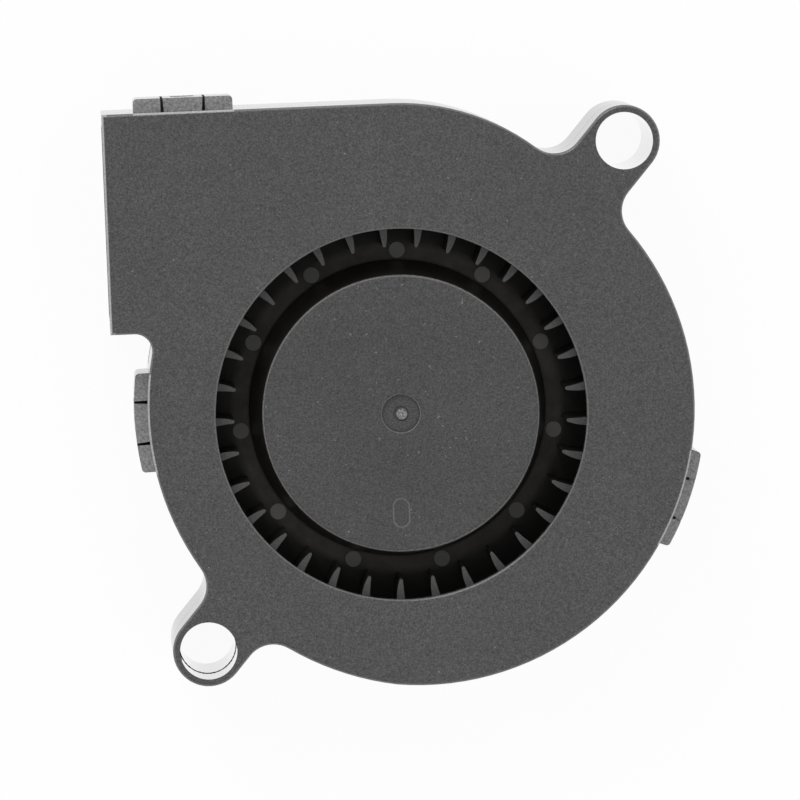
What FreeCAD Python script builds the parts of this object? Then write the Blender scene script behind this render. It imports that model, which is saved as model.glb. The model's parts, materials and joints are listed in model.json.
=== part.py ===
"""Small dc centrifugal blower, 51 x 51 x 15 mm, lying on its rear face.

The rotor axis is +Z and the origin is where it meets the rear face. The round
inlet looks up, the square outlet looks along -X, and the two screw ears stand
on one diagonal. Sizes are millimetres and degrees.
"""
import FreeCAD, Part
import math
import os
import re
import Sketcher

V = FreeCAD.Vector

# Driving sizes: name, value and what it measures
SIZES = [
    # Case: a flat box with a spiral wall, parted by a seam across its depth
    ("case_depth", 15.0, "rear face to front face"),
    ("seam_height", 9.25, "rear face to the joint between the two shells"),
    ("plate", 1.2, "thickness of the front and rear plates"),
    ("wall", 1.2, "thickness of the side walls"),
    ("face_round", 0.3, "rounding of the outer edges of both faces"),
    ("lip_height", 0.6, "lip that stands inside the joint between the shells"),
    ("lip_clearance", 0.1, "lip to the groove round it"),
    ("inlet_radius", 16.2, "inlet hole in the front plate"),
    ("inlet_round", 0.25, "rounding of the inlet's lip"),
    ("cut_over", 1.0, "how far an open cut runs past the face that it opens"),

    # Outline: the gap round the impeller grows from the notch to the outlet's roof
    ("left_gap", 1.5, "impeller to the left wall, where the spiral starts"),
    ("bottom_gap", 3.2, "impeller to the bottom wall"),
    ("right_gap", 5.05, "impeller to the right wall"),
    ("top_gap", 6.55, "impeller to the straight top wall"),
    ("left_arc_x", 2.65, "centre of the left arc, right of the axis"),
    ("left_arc_y", 0.8, "centre of the left arc, above the axis"),
    ("main_arc_x", 1.55, "centre of the bottom and right arc, right of the axis"),
    ("top_arc_x", 0.2, "centre of the top arc, right of the axis"),
    ("top_arc_y", 7.25, "centre of the top arc, above the axis"),
    ("outlet_proud", 2.95, "outlet's face beyond the left wall"),
    ("outlet_floor", 7.95, "rotor axis to the underside of the outlet"),
    ("notch_radius", 1.5, "inner corner between outlet and spiral wall"),
    ("sprue_turn", -38.8, "place of the moulding stub, about the main arc"),
    ("sprue_radius", 0.28, "moulding stub on the cover's wall"),
    ("sprue_height", 1.2, "moulding stub on the cover's wall"),

    # Screw ears on one diagonal; their holes come to stand 38 by 43 apart
    ("ear_right", 5.3, "right wall in to the upper screw hole"),
    ("ear_top", 4.1, "top wall down to the upper screw hole"),
    ("ear_left", 4.45, "left wall in to the lower screw hole"),
    ("ear_bottom", 3.85, "bottom wall up to the lower screw hole"),
    ("ear_hole_radius", 2.5, "screw hole"),
    ("ear_wall", 0.62, "wall round the screw hole"),
    ("ear_turn", 49.0, "angle at which the ears point"),
    ("ear_fillet", 2.6, "fillet between an ear and the spiral wall"),

    # Three snap clips over the seam, each a tongue between two guards
    ("clip_rise", 2.05, "seam to the upper end of the clips"),
    ("clip_drop", 3.85, "seam to the lower end of the clips"),
    ("clip_proud", 1.15, "how far a clip stands off the wall"),
    ("tongue_width", 3.5, "middle block, which bends"),
    ("tongue_taper", 0.13, "how much each side of the middle block draws in towards the wall"),
    ("guard_width", 2.4, "each outer block"),
    ("guard_round", 0.35, "rounding of the outer blocks' far corners"),
    ("clip_gap", 0.2, "slit between tongue and guard"),
    ("rest_height", 1.0, "ledge that joins the lower guards below a tongue's end"),
    ("rest_gap", 0.2, "tongue's end to that ledge"),
    ("clip_clearance", 0.12, "tongue to the lower wall and to its catch"),
    ("catch_width", 1.8, "catch on the lower wall"),
    ("catch_height", 1.9, "height of the sloping catch"),
    ("catch_nose", 0.4, "blunt end of the catch"),
    ("catch_proud", 0.95, "how far the catch stands off the wall"),
    ("window_foot", 1.0, "bar of the tongue below its window"),
    ("top_clip_inset", 7.15, "outlet's face to the middle of the top clip"),
    ("left_clip_turn", 181.9, "middle of the left clip, about its arc"),
    ("right_clip_turn", -21.4, "middle of the right clip, about its arc"),

    # Impeller: closed hub, back disc, forward curved blades and a rim ring
    ("hub_drop", 1.25, "front face down to the hub"),
    ("hub_wall", 1.05, "hub's side wall at its front edge"),
    ("hub_flare", 1.0, "how much wider the hub is at its foot"),
    ("hub_skin", 1.0, "hub's front wall"),
    ("hub_round", 0.3, "rounding of the hub's front edge"),
    ("rear_gap", 3.3, "rear plate to the back disc"),
    ("disc_skin", 0.8, "back disc"),
    ("impeller_radius", 19.4, "back disc and rim ring"),
    ("rim_width", 0.8, "ring that ties the blades' front ends"),
    ("rim_height", 0.9, "ring that ties the blades' front ends"),
    ("blade_clearance", 0.9, "front plate to the blades' front ends"),
    ("blade_count", 33, "blades"),
    ("blade_gap", 1.45, "hub's foot to the blades' inner ends"),
    ("blade_phase", 6.06, "turn of the first blade"),
    ("blade_sweep", 2.6, "how far the outer end leads the inner one"),
    ("blade_tip", 0.15, "rounding of a blade's inner end"),
    ("blade_end", 0.3, "thickness of a blade's outer end"),
    ("blade_back", 4.9, "curve of the blade's trailing side"),
    ("blade_face", 21.0, "curve of the blade's leading side"),
    ("pad_gap", 0.85, "hub's foot to the middle of a round pad on the floor"),
    ("pad_radius", 0.7, "round pad"),
    ("pad_height", 0.12, "round pad"),
    ("pad_every", 3, "blades for each pad"),
    ("dimple_radius", 1.65, "dimple in the middle of the hub"),
    ("dimple_depth", 0.35, "dimple in the middle of the hub"),
    ("dimple_round", 0.18, "rounding of the dimple's rim"),
    ("gate_radius", 0.67, "recess of the moulding gate in the dimple"),
    ("gate_depth", 0.12, "recess of the moulding gate in the dimple"),
    ("stub_radius", 0.48, "stub torn off in the gate's recess"),
    ("stub_height", 0.25, "stub torn off in the gate's recess"),
    ("stub_shift", 0.08, "stub to the right of the axis and below it"),
    ("mark_drop", 8.7, "axis to the long mould mark"),
    ("mark_shift", -0.3, "long mould mark, right of the axis"),
    ("mark_width", 1.37, "long mould mark"),
    ("mark_length", 2.46, "long mould mark"),
    ("mark_depth", 0.06, "long mould mark"),

    # Rotor metal parts
    ("glue_gap", 0.05, "clearance of glued and pressed parts"),
    ("yoke_radius", 11.0, "steel cup inside the hub"),
    ("yoke_wall", 0.8, "steel cup"),
    ("yoke_round", 0.72, "rounding of the cup's shoulder"),
    ("yoke_inset", 0.2, "underside of the back disc up to the cup's rim"),
    ("magnet_wall", 1.2, "ring magnet"),
    ("magnet_inset", 0.3, "cup's rim up to the magnet"),
    ("magnet_drop", 0.7, "cup's ceiling down to the magnet"),
    ("shaft_radius", 1.0, "shaft"),
    ("thrust_height", 0.3, "thrust pad under the shaft"),
    ("thrust_gap", 0.1, "thrust pad up to the shaft"),
    ("groove_rise", 0.5, "shaft's lower end up to the groove"),
    ("groove_depth", 0.2, "groove for the retaining clip"),
    ("groove_width", 0.4, "groove for the retaining clip"),
    ("clip_wall", 0.9, "retaining clip beyond the shaft"),
    ("bush_neck", 0.7, "wall of the brass bush where it goes through the cup"),
    ("bush_step", 0.6, "collar of the bush under the cup"),
    ("bush_height", 1.25, "collar of the bush under the cup"),

    # Bearing and stator
    ("running_gap", 0.03, "shaft in its bearing"),
    ("tube_radius", 2.9, "bearing tube, outside"),
    ("tube_wall", 0.4, "bearing tube"),
    ("tube_gap", 0.4, "mouth of the tube up to the bush"),
    ("bearing_rise", 0.4, "groove up to the sleeve bearing"),
    ("ring_gap", 0.3, "bearing up to the oil ring, and the ring in from the tube"),
    ("ring_height", 0.35, "oil ring"),
    ("ring_cover", 0.45, "oil ring up to the mouth of the tube"),
    ("air_gap", 0.45, "stator to magnet"),
    ("sheet_height", 0.5, "steel sheet"),
    ("sheet_coat", 0.01, "varnish between two sheets"),
    ("pole_count", 4, "poles"),
    ("stack_wall", 1.35, "ring in the middle of a sheet"),
    ("pole_neck", 2.0, "width of a pole"),
    ("pole_span", 68.0, "angle of a pole's shoe"),
    ("shoe_height", 1.0, "radial height of a pole's shoe"),
    ("liner", 0.3, "insulator beside a pole"),
    ("liner_span", 64.0, "angle of an insulator's shoe"),
    ("liner_plate", 0.45, "insulator above and below the sheets"),
    ("liner_wall", 1.3, "upright walls of the insulators"),
    ("coil_width", 0.95, "winding beside the insulator"),
    ("coil_round", 0.76, "rounding of a winding's corners"),
    ("coil_clearance", 0.08, "winding to the insulators"),
    ("coil_rise", 0.67, "circuit board up to the windings"),
    ("coil_room", 1.5, "least gap from the windings to the cup's ceiling"),

    # Circuit board on the rear shell
    ("boss_wall", 0.95, "boss round the bearing tube"),
    ("boss_height", 1.5, "boss round the bearing tube"),
    ("post_height", 0.8, "posts under the board"),
    ("post_radius", 0.8, "posts under the board"),
    ("post_ring", 7.5, "axis to the posts"),
    ("post_count", 3, "posts under the board"),
    ("board_height", 0.8, "circuit board"),
    ("board_inset", 0.5, "cup's outside in to the board's edge"),
    ("board_clearance", 0.15, "board to the boss"),
    ("pin_reach", 0.8, "ring of a sheet out to the winding pins"),
    ("pin_radius", 0.25, "winding pin"),
    ("pin_lug_radius", 0.9, "lug that holds a winding pin"),
    ("solder_radius", 0.5, "solder under a pin"),
    ("solder_height", 0.35, "solder under a pin"),
    ("part_inset", 1.4, "board's edge in to the parts on it"),
    ("land_radius", 0.7, "solder land for a lead"),
    ("land_height", 0.17, "solder land for a lead"),
    ("land_turn", 150.0, "middle of the lands for the leads"),
    ("land_spread", 6.0, "turn from the middle to each land"),
    ("driver_turn", 0.0, "place of the driver chip"),
    ("driver_length", 2.9, "driver chip with its magnetic sensor"),
    ("driver_width", 1.5, "driver chip"),
    ("driver_height", 1.0, "driver chip"),
    ("chip_round", 0.12, "rounding of the small parts"),
    ("foot_reach", 0.35, "metal foot beyond the block"),
    ("foot_width", 0.4, "metal foot"),
    ("foot_height", 0.15, "metal foot"),
    ("capacitor_turn", 90.0, "place of the capacitor"),
    ("capacitor_length", 2.0, "capacitor"),
    ("capacitor_width", 1.25, "capacitor"),
    ("capacitor_height", 0.8, "capacitor"),
    ("resistor_turn", 270.0, "place of the resistor"),
    ("resistor_length", 1.6, "resistor"),
    ("resistor_width", 0.8, "resistor"),
    ("resistor_height", 0.5, "resistor"),
    ("diode_turn", 225.0, "place of the diode"),
    ("diode_length", 2.1, "diode"),
    ("diode_width", 1.3, "diode"),
    ("diode_height", 0.9, "diode"),
    ("wire_slot", 1.7, "square slot for the leads"),
    ("wire_slot_y", 5.5, "slot for the leads, above the axis"),
]
ALIASES = {alias for alias, value, meaning in SIZES}

doc = FreeCAD.newDocument("blower_fan")
sheet = doc.addObject("Spreadsheet::Sheet", "sizes")
for row, (alias, value, meaning) in enumerate(SIZES, 1):
    sheet.set("A%d" % row, meaning)
    sheet.set("B%d" % row, str(value))
    sheet.setAlias("B%d" % row, alias)
doc.recompute()

# Places that several pieces share, each a formula of the sheet's sizes
LEFT_REACH = "(impeller_radius + left_gap + wall)"
BOTTOM_REACH = "(impeller_radius + bottom_gap + wall)"
RIGHT_REACH = "(impeller_radius + right_gap + wall)"
TOP_REACH = "(impeller_radius + top_gap + wall)"
OUTLET_REACH = "(%s + outlet_proud)" % LEFT_REACH
LEFT_RADIUS = "(%s + left_arc_x)" % LEFT_REACH
MAIN_RADIUS = "(%s - main_arc_x)" % RIGHT_REACH
MAIN_ARC_Y = "(%s - %s)" % (MAIN_RADIUS, BOTTOM_REACH)
TOP_RADIUS = "(%s - top_arc_y)" % TOP_REACH
CLIP_TOP = "(seam_height + clip_rise)"
CLIP_BOTTOM = "(seam_height - clip_drop)"
HUB_TOP = "(case_depth - hub_drop)"
HUB_RADIUS = "(yoke_radius + glue_gap + hub_wall)"
HUB_FOOT_RADIUS = "(%s + hub_flare)" % HUB_RADIUS
DISC_FOOT = "(plate + rear_gap)"
DISC_TOP = "(%s + disc_skin)" % DISC_FOOT
BLADE_TOP = "(case_depth - plate - blade_clearance)"
BLADE_START = "(%s + blade_gap)" % HUB_FOOT_RADIUS
BLADE_REACH = "(impeller_radius - rim_width / 4)"
YOKE_TOP = "(%s - hub_skin - glue_gap)" % HUB_TOP
YOKE_CEILING = "(%s - yoke_wall)" % YOKE_TOP
YOKE_FOOT = "(%s + yoke_inset)" % DISC_FOOT
YOKE_BORE = "(yoke_radius - yoke_wall)"
MAGNET_RADIUS = "(%s - glue_gap)" % YOKE_BORE
MAGNET_BORE = "(%s - magnet_wall)" % MAGNET_RADIUS
SHAFT_FOOT = "(plate + thrust_height + thrust_gap)"
GROOVE_FOOT = "(%s + groove_rise)" % SHAFT_FOOT
GROOVE_TOP = "(%s + groove_width)" % GROOVE_FOOT
GROOVE_RADIUS = "(shaft_radius - groove_depth)"
BUSH_TOP = "(%s - glue_gap)" % YOKE_CEILING
BUSH_FOOT = "(%s - bush_height)" % BUSH_TOP
BUSH_NECK = "(shaft_radius + bush_neck)"
TUBE_TOP = "(%s - tube_gap)" % BUSH_FOOT
TUBE_BORE = "(tube_radius - tube_wall)"
RING_FOOT = "(%s - ring_cover - ring_height)" % TUBE_TOP
BOARD_FOOT = "(plate + post_height)"
BOARD_TOP = "(%s + board_height)" % BOARD_FOOT
BOARD_RADIUS = "(yoke_radius - board_inset)"
PART_RING = "(%s - part_inset)" % BOARD_RADIUS
STATOR_RADIUS = "(%s - air_gap)" % MAGNET_BORE
SHOE_INNER = "(%s - shoe_height)" % STATOR_RADIUS
SHEET_BORE = "(tube_radius + glue_gap)"
STACK_RING = "(%s + stack_wall)" % SHEET_BORE
PIN_RING = "(%s + pin_reach)" % STACK_RING
COIL_FOOT = "(%s + coil_rise)" % BOARD_TOP
COIL_HEIGHT = "(liner_wall - glue_gap)"
LOWER_PLATE = "(%s + %s + coil_clearance)" % (COIL_FOOT, COIL_HEIGHT)
STACK_FOOT = "(%s + liner_plate + glue_gap)" % LOWER_PLATE


def formula(text):
    """Turn the plain names in a formula into cells of the sheet."""
    return re.sub(r"[a-z_]+", lambda word: "sizes." + word[0] if word[0] in ALIASES else word[0], text)


def number(text):
    """Value of a formula written with the sheet's names."""
    return float(sheet.evalExpression(text))


def bind(item, prop, text):
    """Tie a property to a formula of the sheet."""
    item.setExpression(prop, formula(text))


def new_body(name):
    """Start a PartDesign body, whose label is the piece's name."""
    body = doc.addObject("PartDesign::Body", name)
    body.Label = name
    return body


def origin_item(body, role):
    """One of the origin planes or axes of a body."""
    return next(item for item in body.Origin.OriginFeatures if item.Role == role)


def new_sketch(body, name, plane="XY_Plane", height="0", turn="0", x="0", y="0"):
    """Attach a sketch to an origin plane, moved and turned by formulas."""
    sketch = body.newObject("Sketcher::SketchObject", name)
    sketch.AttachmentSupport = (origin_item(body, plane), [""])
    sketch.MapMode = "FlatFace"
    base = V(number(x), number(y), number(height))
    sketch.AttachmentOffset = FreeCAD.Placement(base, FreeCAD.Rotation(V(0, 0, 1), number(turn)))
    for axis, text in (("x", x), ("y", y), ("z", height)):
        if text != "0":
            bind(sketch, "AttachmentOffset.Base." + axis, text)
    if turn != "0":
        bind(sketch, "AttachmentOffset.Rotation.Angle", turn)
    return sketch


def line(sketch, start, end):
    """Add a straight edge between two plane points."""
    return sketch.addGeometry(Part.LineSegment(V(*start, 0), V(*end, 0)), False)


def arc(sketch, centre, radius, start, end):
    """Add an arc that runs counter-clockwise between two angles."""
    circle = Part.Circle(V(*centre, 0), V(0, 0, 1), radius)
    return sketch.addGeometry(Part.ArcOfCircle(circle, math.radians(start), math.radians(end)), False)


def join(sketch, first, first_end, second, second_end, kind="Coincident"):
    """Join two edges at their ends; Tangent also makes them run on smoothly."""
    sketch.addConstraint(Sketcher.Constraint(kind, first, first_end, second, second_end))


def dimension(sketch, kind, refs, text):
    """Add a dimension tied to a formula of the sheet."""
    index = sketch.addConstraint(Sketcher.Constraint(kind, *refs, number(text)))
    bind(sketch, "Constraints[%d]" % index, text)


def place_point(sketch, edge, end, x, y):
    """Hold a point of an edge at two formulas; a zero lies on the axis."""
    for axis, text, kind in ((-2, x, "DistanceX"), (-1, y, "DistanceY")):
        if text == "0":
            sketch.addConstraint(Sketcher.Constraint("PointOnObject", edge, end, axis))
        else:
            dimension(sketch, kind, (-1, 1, edge, end), text)


def polygon(sketch, corners):
    """Closed outline of straight edges, each corner a pair of formulas."""
    points = [(number(x), number(y)) for x, y in corners]
    edges = [line(sketch, points[i - 1], points[i]) for i in range(len(points))]
    for i, (x, y) in enumerate(corners):
        join(sketch, edges[i], 2, edges[(i + 1) % len(edges)], 1)
        place_point(sketch, edges[i], 2, x, y)


def circle(sketch, x, y, radius):
    """Full circle at a place given by formulas."""
    edge = sketch.addGeometry(Part.Circle(V(number(x), number(y), 0), V(0, 0, 1), number(radius)), False)
    place_point(sketch, edge, 3, x, y)
    dimension(sketch, "Radius", (edge,), radius)


def pad(body, sketch, length):
    """Raise a sketch by a formula."""
    feature = body.newObject("PartDesign::Pad", sketch.Name + "_pad")
    feature.Profile = sketch
    bind(feature, "Length", length)
    sketch.Visibility = False
    return feature


def pocket(body, sketch, length, upward=False):
    """Cut a sketch down, or up, by a formula."""
    feature = body.newObject("PartDesign::Pocket", sketch.Name + "_pocket")
    feature.Profile = sketch
    feature.Reversed = upward
    bind(feature, "Length", length)
    return feature


def revolve(body, sketch):
    """Turn an upright sketch about the rotor axis."""
    feature = body.newObject("PartDesign::Revolution", sketch.Name + "_turned")
    feature.Profile = sketch
    feature.ReferenceAxis = (sketch, ["V_Axis"])
    feature.Angle = 360.0
    return feature


def repeat(body, feature, count, name):
    """Repeat a feature round the rotor axis."""
    pattern = body.newObject("PartDesign::PolarPattern", name)
    pattern.Originals = [feature]
    pattern.Axis = (origin_item(body, "Z_Axis"), [""])
    pattern.Angle = 360.0
    bind(pattern, "Occurrences", count)
    body.Tip = pattern
    return pattern


def fillet(body, edges, radius, name):
    """Round the edges of the body's last feature that a test picks out."""
    doc.recompute()
    base = body.Tip
    names = ["Edge%d" % (i + 1) for i, edge in enumerate(base.Shape.Edges) if edges(edge)]
    feature = body.newObject("PartDesign::Fillet", name)
    feature.Base = (base, names)
    bind(feature, "Radius", radius)
    return feature


def at_height(edge, height):
    """True for an edge that lies flat at a height."""
    box = edge.BoundBox
    return abs(box.ZMin - height) < 1e-4 and abs(box.ZMax - height) < 1e-4


def turned_part(name, corners):
    """A piece of revolution, from the corners of its half section."""
    body = new_body(name)
    sketch = new_sketch(body, name + "_section", "XZ_Plane")
    polygon(sketch, corners)
    revolve(body, sketch)
    return body


def ring(name, bore, radius, foot, top):
    """A plain turned ring."""
    return turned_part(name, [(bore, foot), (radius, foot), (radius, top), (bore, top)])


def meet(centre_a, radius_a, centre_b, radius_b, side):
    """Where two circles cross, on the left (1) or right (-1) going from a to b."""
    span_x = centre_b[0] - centre_a[0]
    span_y = centre_b[1] - centre_a[1]
    span = math.hypot(span_x, span_y)
    along = (radius_a ** 2 - radius_b ** 2 + span ** 2) / (2 * span)
    across = side * math.sqrt(radius_a ** 2 - along ** 2)
    x = centre_a[0] + (along * span_x - across * span_y) / span
    y = centre_a[1] + (along * span_y + across * span_x) / span
    return x, y


def bearing_of(centre, point):
    """Angle from a centre to a point, in degrees."""
    return math.degrees(math.atan2(point[1] - centre[1], point[0] - centre[0]))


def scroll_outline(sketch, inset, mouth):
    """Spiral outline with its square outlet, moved inwards by inset."""
    step = number(inset)
    top = number(TOP_REACH) - step
    floor = number("outlet_floor") + step
    face = -number(mouth)
    roof_centre = (number("top_arc_x"), number("top_arc_y"))
    roof_radius = number(TOP_RADIUS) - step
    main_centre = (number("main_arc_x"), number(MAIN_ARC_Y))
    main_radius = number(MAIN_RADIUS) - step
    left_centre = (number("left_arc_x"), number("left_arc_y"))
    left_radius = number(LEFT_RADIUS) - step
    lip_radius = number("notch_radius") + step
    lip_y = number("outlet_floor - notch_radius")
    reach = number(LEFT_RADIUS + " + notch_radius")
    lip_centre = (left_centre[0] - math.sqrt(reach ** 2 - (lip_y - left_centre[1]) ** 2), lip_y)

    corner = meet(main_centre, main_radius, roof_centre, roof_radius, -1)
    base = meet(main_centre, main_radius, left_centre, left_radius, -1)
    turn = bearing_of(lip_centre, left_centre)
    roof = line(sketch, (face, top), (roof_centre[0], top))
    crown = arc(sketch, roof_centre, roof_radius, bearing_of(roof_centre, corner), 90)
    belly = arc(sketch, main_centre, main_radius, bearing_of(main_centre, base),
                bearing_of(main_centre, corner))
    flank = arc(sketch, left_centre, left_radius, turn + 180, bearing_of(left_centre, base) + 360)
    lip = arc(sketch, lip_centre, lip_radius, turn, 90)
    sill = line(sketch, (lip_centre[0], floor), (face, floor))
    front = line(sketch, (face, floor), (face, top))

    join(sketch, roof, 2, crown, 2, "Tangent")
    join(sketch, crown, 1, belly, 2)
    join(sketch, belly, 1, flank, 2)
    join(sketch, flank, 1, lip, 1, "Tangent")
    join(sketch, lip, 2, sill, 1, "Tangent")
    join(sketch, sill, 2, front, 1)
    join(sketch, front, 2, roof, 1)
    sketch.addConstraint(Sketcher.Constraint("Horizontal", roof))
    sketch.addConstraint(Sketcher.Constraint("Horizontal", sill))
    sketch.addConstraint(Sketcher.Constraint("Vertical", front))
    dimension(sketch, "DistanceX", (-1, 1, crown, 3), "top_arc_x")
    place_point(sketch, belly, 3, "main_arc_x", MAIN_ARC_Y)
    place_point(sketch, flank, 3, "left_arc_x", "left_arc_y")
    dimension(sketch, "Radius", (crown,), TOP_RADIUS + " - " + inset)
    dimension(sketch, "Radius", (belly,), MAIN_RADIUS + " - " + inset)
    dimension(sketch, "Radius", (flank,), LEFT_RADIUS + " - " + inset)
    dimension(sketch, "Radius", (lip,), "notch_radius + " + inset)
    place_point(sketch, front, 2, "-1 * (%s)" % mouth, TOP_REACH + " - " + inset)
    dimension(sketch, "DistanceY", (-1, 1, sill, 1), "outlet_floor + " + inset)


EARS = (
    ("upper", RIGHT_REACH + " - ear_right", TOP_REACH + " - ear_top", "ear_turn"),
    ("lower", "ear_left - " + LEFT_REACH, "ear_bottom - " + BOTTOM_REACH, "ear_turn + 180"),
)
EAR_RADIUS = "ear_hole_radius + ear_wall"
EAR_ROOT = "impeller_radius / 2"


def add_ears(body, shell, foot, height):
    """Two lugs with a round end; the cavity's cut trims their roots off inside the wall."""
    for name, x, y, turn in EARS:
        sketch = new_sketch(body, shell + name + "_ear", "XY_Plane", foot, turn, x, y)
        radius = number(EAR_RADIUS)
        root = number(EAR_ROOT)
        nose = arc(sketch, (0, 0), radius, -90, 90)
        left = line(sketch, (0, radius), (-root, radius))
        back = line(sketch, (-root, radius), (-root, -radius))
        right = line(sketch, (-root, -radius), (0, -radius))
        join(sketch, nose, 2, left, 1, "Tangent")
        join(sketch, left, 2, back, 1)
        join(sketch, back, 2, right, 1)
        join(sketch, right, 2, nose, 1, "Tangent")
        join(sketch, nose, 3, -1, 1)
        sketch.addConstraint(Sketcher.Constraint("Horizontal", left))
        sketch.addConstraint(Sketcher.Constraint("Vertical", back))
        dimension(sketch, "Radius", (nose,), EAR_RADIUS)
        dimension(sketch, "Distance", (left,), EAR_ROOT)
        pad(body, sketch, height)


def upright(edge):
    """True for an edge along Z."""
    box = edge.BoundBox
    return box.XLength + box.YLength < 1e-4


def in_frame(edge, x, y, turn):
    """An upright edge's place along and across a frame at x, y that faces turn."""
    angle = math.radians(number(turn))
    away = V(edge.BoundBox.XMin - number(x), edge.BoundBox.YMin - number(y), 0)
    return (away.x * math.cos(angle) + away.y * math.sin(angle),
            away.y * math.cos(angle) - away.x * math.sin(angle))


def meets_ear(edge):
    """True for an upright edge where the side of an ear runs into the wall."""
    if not upright(edge):
        return False
    for _, x, y, turn in EARS:
        along, across = in_frame(edge, x, y, turn)
        if along < -0.5 and abs(abs(across) - number(EAR_RADIUS)) < 1e-3:
            return True
    return False


def drill_ears(body, shell, top, depth):
    """Screw holes through both ears of a shell."""
    sketch = new_sketch(body, shell + "ear_holes", "XY_Plane", top)
    for _, x, y, _ in EARS:
        circle(sketch, x, y, "ear_hole_radius")
    pocket(body, sketch, depth)


# Each clip: name, origin of its frame, direction it faces, wall's distance and curve
CLIPS = (
    ("top", "top_clip_inset - " + OUTLET_REACH, "0", "90", TOP_REACH, False),
    ("left", "left_arc_x", "left_arc_y", "left_clip_turn", LEFT_RADIUS, True),
    ("right", "main_arc_x", MAIN_ARC_Y, "right_clip_turn", MAIN_RADIUS, True),
)


def clip_block(sketch, inner, outer, low, high, curved, taper="0"):
    """Block from inner to outer along the clip's direction, low to high across."""
    x_in = number(inner)
    x_out = number(outer)
    y_low = number(low)
    y_high = number(high)
    if curved:
        start = math.degrees(math.asin(y_low / x_out))
        end = math.degrees(math.asin(y_high / x_out))
        skin = arc(sketch, (0, 0), x_out, start, end)
        join(sketch, skin, 3, -1, 1)
        dimension(sketch, "Radius", (skin,), outer)
        x_low = x_out * math.cos(math.radians(start))
        x_high = x_out * math.cos(math.radians(end))
    else:
        x_low = x_out
        x_high = x_out
        skin = line(sketch, (x_low, y_low), (x_high, y_high))
        sketch.addConstraint(Sketcher.Constraint("Vertical", skin))
        dimension(sketch, "DistanceX", (-1, 1, skin, 1), outer)
    step = number(taper)
    upper = line(sketch, (x_high, y_high), (x_in, y_high - step))
    root = line(sketch, (x_in, y_high - step), (x_in, y_low + step))
    lower = line(sketch, (x_in, y_low + step), (x_low, y_low))
    join(sketch, skin, 2, upper, 1)
    join(sketch, upper, 2, root, 1)
    join(sketch, root, 2, lower, 1)
    join(sketch, lower, 2, skin, 1)
    dimension(sketch, "DistanceY", (-1, 1, skin, 1), low)
    dimension(sketch, "DistanceY", (-1, 1, skin, 2), high)
    place_point(sketch, root, 1, inner, "%s - %s" % (high, taper))
    place_point(sketch, root, 2, inner, "%s + %s" % (low, taper))


def add_guards(body, shell, foot, height, joined):
    """Two fixed blocks beside each tongue, joined by a ledge below it if asked."""
    near = "tongue_width / 2 + clip_gap"
    far = near + " + guard_width"
    for name, x, y, turn, reach, curved in CLIPS:
        sketch = new_sketch(body, shell + name + "_guards", "XY_Plane", foot, turn, x, y)
        inner = reach + " - wall / 2"
        outer = reach + " + clip_proud"
        clip_block(sketch, inner, outer, near, far, curved)
        clip_block(sketch, inner, outer, "-1 * (%s)" % far, "-1 * (%s)" % near, curved)
        pad(body, sketch, height)
        if joined:
            rest = new_sketch(body, shell + name + "_rest", "XY_Plane", foot, turn, x, y)
            clip_block(rest, inner, outer, "-1 * (%s)" % near, near, curved)
            pad(body, rest, "rest_height")
    fillet(body, ends_clip, "guard_round", shell + "guard_rounds")


def ends_clip(edge):
    """True for the upright outer edge at either end of a clip."""
    if not upright(edge):
        return False
    for _, x, y, turn, reach, curved in CLIPS:
        along, across = in_frame(edge, x, y, turn)
        depth = math.hypot(along, across) if curved else along
        end = number("tongue_width / 2 + clip_gap + guard_width")
        if abs(depth - number(reach + " + clip_proud")) < 1e-3 and abs(abs(across) - end) < 1e-3:
            return True
    return False


def add_tongues(body):
    """Springy tongues that reach down over the lower shell, with their windows."""
    side = "tongue_width / 2"
    for name, x, y, turn, reach, curved in CLIPS:
        outer = reach + " + clip_proud"
        root = new_sketch(body, name + "_tongue_root", "XY_Plane", "seam_height", turn, x, y)
        clip_block(root, reach + " - wall / 2", outer, "-" + side, side, curved, "tongue_taper")
        pad(body, root, "clip_rise")
        blade = new_sketch(body, name + "_tongue", "XY_Plane", CLIP_BOTTOM, turn, x, y)
        clip_block(blade, reach + " + clip_clearance", outer, "-" + side, side, curved, "tongue_taper")
        pad(body, blade, "clip_rise + clip_drop")
        half = "catch_width / 2 + clip_clearance"
        head = CLIP_BOTTOM + " + window_foot + catch_height + 2 * clip_clearance"
        window = new_sketch(body, name + "_window", "XY_Plane", head, turn, x, y)
        clip_block(window, reach + " + clip_clearance / 2", reach + " + clip_proud + wall",
                   "-1 * (%s)" % half, half, False)
        pocket(body, window, "catch_height + 2 * clip_clearance")


def add_catches(body):
    """Wedges on the lower shell that the tongues' windows snap over."""
    for name, x, y, turn, reach, curved in CLIPS:
        wedge = body.newObject("PartDesign::AdditiveWedge", name + "_catch")
        wedge.AttachmentSupport = (origin_item(body, "XY_Plane"), [""])
        wedge.MapMode = "FlatFace"
        base = V(number(x), number(y), 0)
        wedge.AttachmentOffset = FreeCAD.Placement(base, FreeCAD.Rotation(V(0, 0, 1), number(turn) - 90))
        for axis, text in (("x", x), ("y", y)):
            if text != "0":
                bind(wedge, "AttachmentOffset.Base." + axis, text)
        bind(wedge, "AttachmentOffset.Rotation.Angle", turn + " - 90")
        foot = CLIP_BOTTOM + " + window_foot + clip_clearance"
        faces = (
            ("Xmin", "-catch_width / 2"), ("Xmax", "catch_width / 2"),
            ("X2min", "-catch_width / 2"), ("X2max", "catch_width / 2"),
            ("Ymin", reach + " - wall / 2"), ("Ymax", reach + " + catch_proud"),
            ("Zmin", foot), ("Zmax", foot + " + catch_height"),
            ("Z2min", foot), ("Z2max", foot + " + catch_nose"),
        )
        for prop, text in faces:
            setattr(wedge, prop, number(text))
            bind(wedge, prop, text)


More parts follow.
